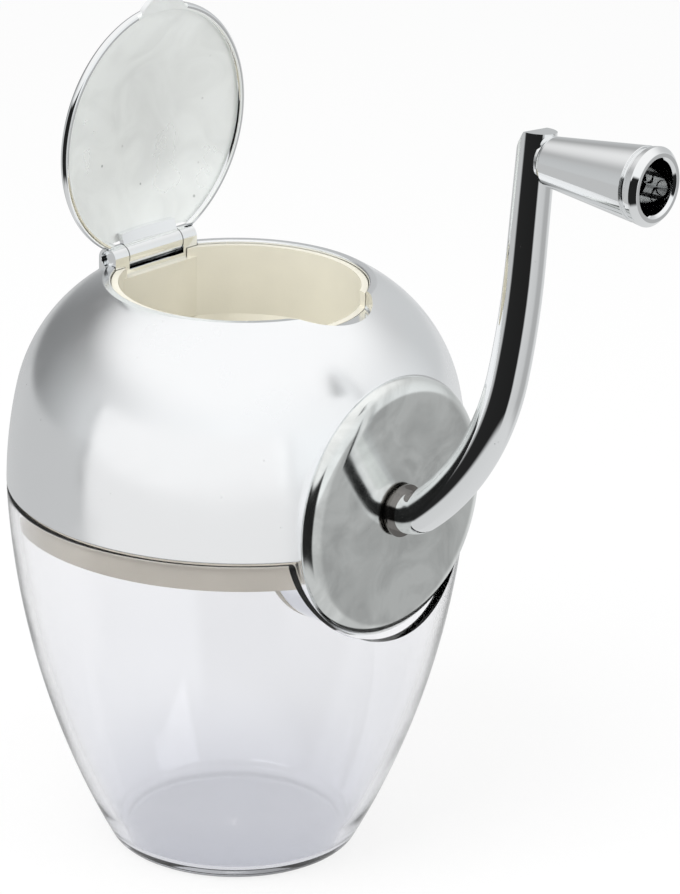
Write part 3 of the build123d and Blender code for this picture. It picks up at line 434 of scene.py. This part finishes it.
# The dome stands so close over the table that it mirrors white card where the crank mirrors the dark wall.
dome_only = bpy.data.collections.new("lit_by_cards")
dome_only.objects.link(dome_piece)
dark_wall_azimuth, dark_wall_sides = -25, (0.54, 0.66)


def light_card(name, wide, deep, light, place):
    """A card that only the dome mirrors, shining just in the directions where the room has its dark wall."""
    lamp = bpy.data.lights.new(name, "AREA")
    lamp.shape, lamp.size, lamp.size_y, lamp.energy = "RECTANGLE", wide, deep, pi * wide * deep * light
    lamp.use_nodes = True
    tree = lamp.node_tree
    out_of = node(tree, "ShaderNodeNewGeometry").outputs["Incoming"]
    drop = node(tree, "ShaderNodeSeparateXYZ", {"Vector": out_of}).outputs["Z"]
    level = node(tree, "ShaderNodeVectorMath", {0: out_of, 1: (-1.0, -1.0, 0.0)}, operation="MULTIPLY")
    level = node(tree, "ShaderNodeVectorMath", {0: level.outputs["Vector"]}, operation="NORMALIZE")
    aim = node(tree, "ShaderNodeVectorMath",
               {0: level.outputs["Vector"], 1: seen_from_camera(dark_wall_azimuth, 0)},
               operation="DOT_PRODUCT").outputs["Value"]
    sector = mapped(tree, aim, *dark_wall_sides, curve="SMOOTHSTEP")
    over_table = mapped(tree, drop, *(-edge for edge in table_edge), curve="SMOOTHSTEP")
    under_top = mapped(tree, drop, *(-edge for edge in dark_wall_top[::-1]), curve="SMOOTHSTEP")
    band = node(tree, "ShaderNodeMath", {0: over_table, 1: under_top}, operation="MULTIPLY").outputs[0]
    window = node(tree, "ShaderNodeMath", {0: band, 1: sector}, operation="MULTIPLY").outputs[0]
    feed(tree, tree.nodes["Emission"], {"Strength": window})
    card = bpy.data.objects.new(name, lamp)
    scene.collection.objects.link(card)
    card.visible_camera = False
    card.light_linking.receiver_collection = dome_only
    card.matrix_world = turn_to_part @ Matrix.Rotation(radians(dark_wall_azimuth), 4, "Z") @ place


table_deep, above_floor, wall_distance, wall_tall = 1.8, 0.002, 1.8, 1.6
light_card("table_card", 4.0, table_deep, 0.80,
           Matrix.Translation((0, -table_deep / 2, above_floor)) @ Matrix.Rotation(pi, 4, "X"))
light_card("wall_card", 4.4, wall_tall, 0.93,
           Matrix.Translation((0, -wall_distance, wall_tall / 2)) @ Matrix.Rotation(pi / 2, 4, "X"))

# ---- Side disc ----
# A round plated cover with a rolled edge, screwed on from inside the boss; the crank turns in its middle. Its
# flat face is hazed and stained from wet hands, its edge bright.
disc_chrome = chrome("disc_chrome", haze=0.15, tint=(0.90, 0.92, 0.905), stain=0.22)
disc_radius, disc_front, disc_bore, disc_break = 39.3, 64.5, 5.25, 0.3
edge_width, edge_height = 6.0, 3.7
rolled_edge = [(disc_radius - edge_width * (1 - cos(radians(t))),
                disc_front - edge_height * (1 - sin(radians(t)))) for t in range(6, 91, 4)]
disc_corners = [(disc_bore, boss_front), (disc_radius - disc_break, boss_front),
                (disc_radius, boss_front + disc_break), *rolled_edge, (disc_bore, disc_front)]
disc_mesh = turned("side_disc", disc_corners, along_crank, 224)
disc_piece = link("side_disc_visible", smoothed(disc_mesh), disc_chrome, "head")
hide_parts("side_disc")

# ---- Crank arm ----
# A forged round bar, bent out from the hub and up, thinner towards the grip, its tip ground off at a slant,
# and plated to a clean mirror. Its hub is pressed on the shaft's round tenon.
bright_chrome = chrome("polished_chrome", haze=0.03, speck_depth=0.1)
arm_start, arm_lead, hub_radius, top_radius = 66.2, 1.5, 6.4, 5.5
bends = ((8.5, 40.0), (75.0, 82.0), (250.0, 90.0))
bend_step, straight_steps = 1.5, 12
crank_reach, arm_over, crank_turn = 113.3, 7.7, -5.1
place_crank = Matrix.Translation((0, 0, axis_height)) @ Matrix.Rotation(radians(crank_turn), 4, "X")
arm_line = [(arm_start, 0.0), (arm_start + arm_lead / 2, 0.0)]
arm_x, arm_z, heading = arm_start + arm_lead, 0.0, 0.0
for radius, until in bends:
    steps = max(6, int((until - heading) / bend_step))
    bend = [(arm_x + radius * (sin(radians(a)) - sin(radians(heading))),
             arm_z + radius * (cos(radians(heading)) - cos(radians(a))))
            for a in (heading + (until - heading) * i / steps for i in range(steps + 1))]
    arm_line += bend[:-1]
    (arm_x, arm_z), heading = bend[-1], until
arm_end = crank_reach + arm_over
arm_line += [(arm_x, arm_z + (arm_end - arm_z) * i / straight_steps) for i in range(straight_steps + 1)]


def size_input(tree, name, value):
    """A named size of a Geometry Nodes tree."""
    socket = tree.interface.new_socket(name, in_out="INPUT", socket_type="NodeSocketFloat")
    socket.default_value = value
    return socket


bar = bpy.data.node_groups.new("tapered_bar", "GeometryNodeTree")
bar.interface.new_socket("Geometry", in_out="INPUT", socket_type="NodeSocketGeometry")
bar.interface.new_socket("Geometry", in_out="OUTPUT", socket_type="NodeSocketGeometry")
bar_sizes = {size_input(bar, "Hub radius", hub_radius): hub_radius,
             size_input(bar, "Top radius", top_radius): top_radius}
given = node(bar, "NodeGroupInput")
along = node(bar, "GeometryNodeSplineParameter").outputs["Factor"]
taper = mapped(bar, along, 0.0, 1.0, given.outputs["Hub radius"], given.outputs["Top radius"])
ring = node(bar, "GeometryNodeCurvePrimitiveCircle", {"Resolution": 64, "Radius": 1.0})
skin = node(bar, "GeometryNodeCurveToMesh", {"Curve": given.outputs["Geometry"], "Fill Caps": True,
                                             "Profile Curve": ring.outputs["Curve"], "Scale": taper})
whole = node(bar, "GeometryNodeRealizeInstances", {"Geometry": skin.outputs["Mesh"]})
coat = node(bar, "GeometryNodeSetMaterial", {"Geometry": whole.outputs["Geometry"],
                                             "Material": bright_chrome})
node(bar, "NodeGroupOutput", {"Geometry": coat.outputs["Geometry"]})

arm_curve = bpy.data.curves.new("arm_line", "CURVE")
arm_curve.dimensions = "3D"
spline = arm_curve.splines.new("POLY")
spline.points.add(len(arm_line) - 1)
for point, (px, pz) in zip(spline.points, arm_line):
    point.co = (px, 0, pz, 1)
seed = bpy.data.objects.new("crank_arm", arm_curve)
grow = seed.modifiers.new("grow", "NODES")
grow.node_group = bar
for socket, value in bar_sizes.items():
    grow[socket.identifier] = value
arm_mesh = finished(seed)
arm_mesh.name = "crank_arm"
arm_mesh.materials.clear()
arm_mesh.transform(Matrix.Scale(MM, 4) @ place_crank)
weld = bmesh.new()
weld.from_mesh(arm_mesh)
bmesh.ops.remove_doubles(weld, verts=weld.verts, dist=1e-6)
bmesh.ops.recalc_face_normals(weld, faces=weld.faces)
weld.to_mesh(arm_mesh)
weld.free()
tip_wide, tip_high, cut_half, cut_deep = 4.5, 7.5, 9, 18
slant = Matrix.Translation((arm_x - top_radius, 0, arm_end - tip_high)) \
    @ Matrix.Rotation(atan2(tip_wide, tip_high), 4, "Y")
tip_cut = block("tip_cut", (-cut_deep, -cut_half, -cut_half), (0, cut_half, cut_half), place_crank @ slant)
arm_mesh = carve(arm_mesh, [("DIFFERENCE", tip_cut)])
arm_piece = link("crank_arm_visible", smoothed(arm_mesh, 40), bright_chrome, "crank")
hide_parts("crank_arm")

# ---- Grip ----
# A hollow tapered sleeve, turned and plated, with a fine groove near its wide free end and a stepped bore
# that hides the axle's head. It spins on the axle.
grip_seat, grip_washer, grip_gap, grip_length = 2.0, 0.8, 0.3, 38.0
grip_small, grip_large, grip_hole, grip_bore, bore_depth = 7.0, 11.5, 3.05, 7.8, 25
groove_from_end, groove_half, groove_depth = 4.4, 0.9, 0.8
end_taper, end_round, bore_break = 1.6, 1.7, 0.8
grip_start = arm_x + top_radius - grip_seat + grip_washer + grip_gap
grip_end = grip_start + grip_length
groove_a, groove_b = (grip_end - groove_from_end + side * groove_half for side in (-1, 1))
radius_a, radius_b = (grip_small + (edge - grip_start) * (grip_large - grip_small) / grip_length
                      for edge in (groove_a, groove_b))
grip_corners = [(grip_hole, grip_start, 0), (grip_small, grip_start, 3.0), (radius_a, groove_a, 0.25),
                (radius_a - groove_depth, groove_a, 0.2), (radius_b - groove_depth, groove_b, 0.2),
                (radius_b, groove_b, 0.25), (grip_large - 0.15, grip_end - end_taper, 0.5),
                (grip_large - end_round, grip_end, 0.4), (grip_bore + bore_break, grip_end, 0.3),
                (grip_bore, grip_end - bore_break, 0.2), (grip_bore, grip_end - bore_depth, 0.5),
                (grip_hole, grip_end - bore_depth, 0)]
grip_place = place_crank @ Matrix.Translation((0, 0, crank_reach)) @ Matrix.Rotation(pi / 2, 4, "Y")
grip_mesh = turned("grip", eased(grip_corners), grip_place, 128)
grip_piece = link("grip_visible", smoothed(grip_mesh), bright_chrome, "grip")
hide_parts("grip")

# ---- Lid ----
# A pressed shallow dome with a rolled bead and a blunt thumb tab, bright outside; the inside is duller, pitted
# and specked with water marks. Its leaf swings on the hinge pin.
lid_open, lid_radius, lid_wall, lid_bead, lid_crown, lid_gap = 86.5, 39.3, 1.3, 1.3, 89.4, 0.3
tab_half, tab_reach, tab_thick, well_radius, well_reach = 11.0, 3.2, 1.8, 37.4, (-9, 20)
leaf_cut, leaf_half, slot_reach = 4.2, 18.2, (-20, 60)
inner_edge, facing_in, tab_start, tab_side, rim_left_bright = 1.0, -0.6, 34.0, 10.5, 0.9
lid_seat = lid_gap - hinge_above_rim
cap_radius = lid_radius - lid_bead / 2
cap_base = lid_seat + 2 * lid_bead - sqrt(lid_crown ** 2 - cap_radius ** 2)
lid_turn = Matrix.Rotation(radians(-lid_open), 4, "Y")
place_lid = Matrix.Translation((hinge_x, 0, hinge_z)) @ lid_turn @ Matrix.Translation((-hinge_x, 0, 0))


def cap_arc(radius, reach):
    """The cap's profile from its edge to its middle."""
    edge = degrees(acos(reach / radius))
    return arc(0, cap_base, radius, edge, 90, 28)


outer_cap = cap_arc(lid_crown, cap_radius)
inner_cap = cap_arc(lid_crown - lid_wall, cap_radius - inner_edge)
bead = arc(lid_radius - lid_bead, lid_seat + lid_bead, lid_bead, 90, -170, 16)
lid_mesh = turned("lid", outer_cap[::-1][:-1] + bead + inner_cap, place_lid, 224)
tab_shape = bmesh.new()
bmesh.ops.create_cone(tab_shape, cap_ends=True, segments=72, radius1=tab_half, radius2=tab_half,
                      depth=tab_thick)
tab_place = Matrix.Translation((lid_radius - tab_half + tab_reach, 0, lid_seat + tab_thick / 2))
well = cylinder("lid_well", well_radius, *well_reach, place_lid, 128)
tab = carve(built("tab", tab_shape, place_lid @ tab_place), [("DIFFERENCE", well)])
leaf_slot = block("leaf_slot", (hinge_x - leaf_cut, -leaf_half, slot_reach[0]),
                  (hinge_x + leaf_cut, leaf_half, slot_reach[1]), place_lid)
lid_mesh = smoothed(carve(lid_mesh, [("UNION", tab), ("DIFFERENCE", leaf_slot)]))
to_lid = (Matrix.Scale(MM, 4) @ place_lid).inverted()
for face in lid_mesh.polygons:
    middle = to_lid @ face.center
    inward = (to_lid.to_3x3() @ face.normal).normalized().z < facing_in
    on_tab = middle.x > tab_start and abs(middle.y) < tab_side
    face.material_index = int(inward and (on_tab or middle.xy.length < cap_radius - rim_left_bright))
lid_piece = link("lid_visible", lid_mesh, bright_chrome, "lid")
lid_mesh.materials.append(chrome("lid_inside_chrome", haze=0.36, tint=(0.95, 0.975, 0.96), speck_size=0.8,
                                 speck_depth=0.75, speck_spread=0.44, stain=0.08, metal=0.5))
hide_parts("lid_shell")


# ---- Hopper liner and lower deck ----
# Moulded plastic: the cream funnel that leads the cubes to the breaker, and the beige plate that closes the
# head from below, screwed to posts of the dome. Faint grain and slightly yellowed patches.
def plastic(name, colour, rough):
    """Moulded plastic with a faint grain and cloudy patches."""
    material, paint = new_material(name)
    place = node(paint, "ShaderNodeTexCoord").outputs["Object"]
    grain = node(paint, "ShaderNodeTexNoise", {"Vector": place, "Scale": 900.0, "Detail": 3.0})
    cloud = node(paint, "ShaderNodeTexNoise", {"Vector": place, "Scale": 30.0, "Detail": 3.0})
    shade = ramp(paint, cloud.outputs["Fac"], ((0.3, [c * 0.93 for c in colour]),
                                               (0.7, [min(1, c * 1.05) for c in colour])))
    bump = node(paint, "ShaderNodeBump", {"Height": grain.outputs["Fac"], "Strength": 0.08,
                                          "Distance": 0.0003})
    feed(paint, paint.nodes["Principled BSDF"], {"Base Color": shade, "Roughness": rough,
                                                 "Normal": bump.outputs["Normal"]})
    return material


def paint_parts(names, material):
    """Gives pieces kept from the CAD their material."""
    for name in names:
        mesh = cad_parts[name].data
        mesh.materials.clear()
        mesh.materials.append(material)


paint_parts(("hopper_liner",), plastic("cream_plastic", (0.80, 0.77, 0.66), 0.42))
paint_parts(("lower_deck",), plastic("beige_plastic", (0.86, 0.80, 0.70), 0.45))

# ---- Lid hinge ----
# A plated bracket in the dome's seat, the lid's leaf between its knuckles, the pin through them and two small
# screws into the liner.
paint_parts(("hinge_bracket", "hinge_pin", "lid_leaf", "hinge_screws"), bright_chrome)

# ---- Crank bearing ----
# The shaft turns in two nylon bushes in the chamber's walls and in a dark collar in the disc's middle. The
# collar and the thin washer under the arm are coloured dark steel, with faint stains.
paint_parts(("rear_bush", "front_bush"), plastic("bush_nylon", (0.75, 0.74, 0.70), 0.5))
paint_parts(("nose_bush", "crank_washer"),
            chrome("dark_steel", haze=0.12, tint=(0.30, 0.285, 0.27), stain=0.3))

# ---- Grip axle ----
# A steel pin screwed into the arm, with a slotted head deep in the grip's bore, and the bright washer between
# grip and arm.
paint_parts(("grip_axle",), chrome("axle_steel", haze=0.2, tint=(0.42, 0.42, 0.41), stain=0.2))
paint_parts(("grip_washer",), bright_chrome)

# ---- Breaker ----
# Stamped toothed wheels and spacers on the shaft's hexagon that draw the cubes through two fixed combs; a clip
# holds the shaft. Stainless steel, finely brushed.
paint_parts(("breaker_wheels", "wheel_spacers", "crank_shaft", "shaft_clip", "coarse_comb", "fine_comb"),
            chrome("brushed_steel", haze=0.22, tint=(0.62, 0.62, 0.61), stain=0.1))

# ---- Screws inside the head ----
# Zinc-plated pan-head screws with a single slot, for the deck, the liner, the combs and the side disc.
paint_parts(("deck_screws", "liner_screws", "comb_screws", "disc_screws"),
            chrome("zinc_plate", haze=0.26, tint=(0.66, 0.67, 0.69), stain=0.15))
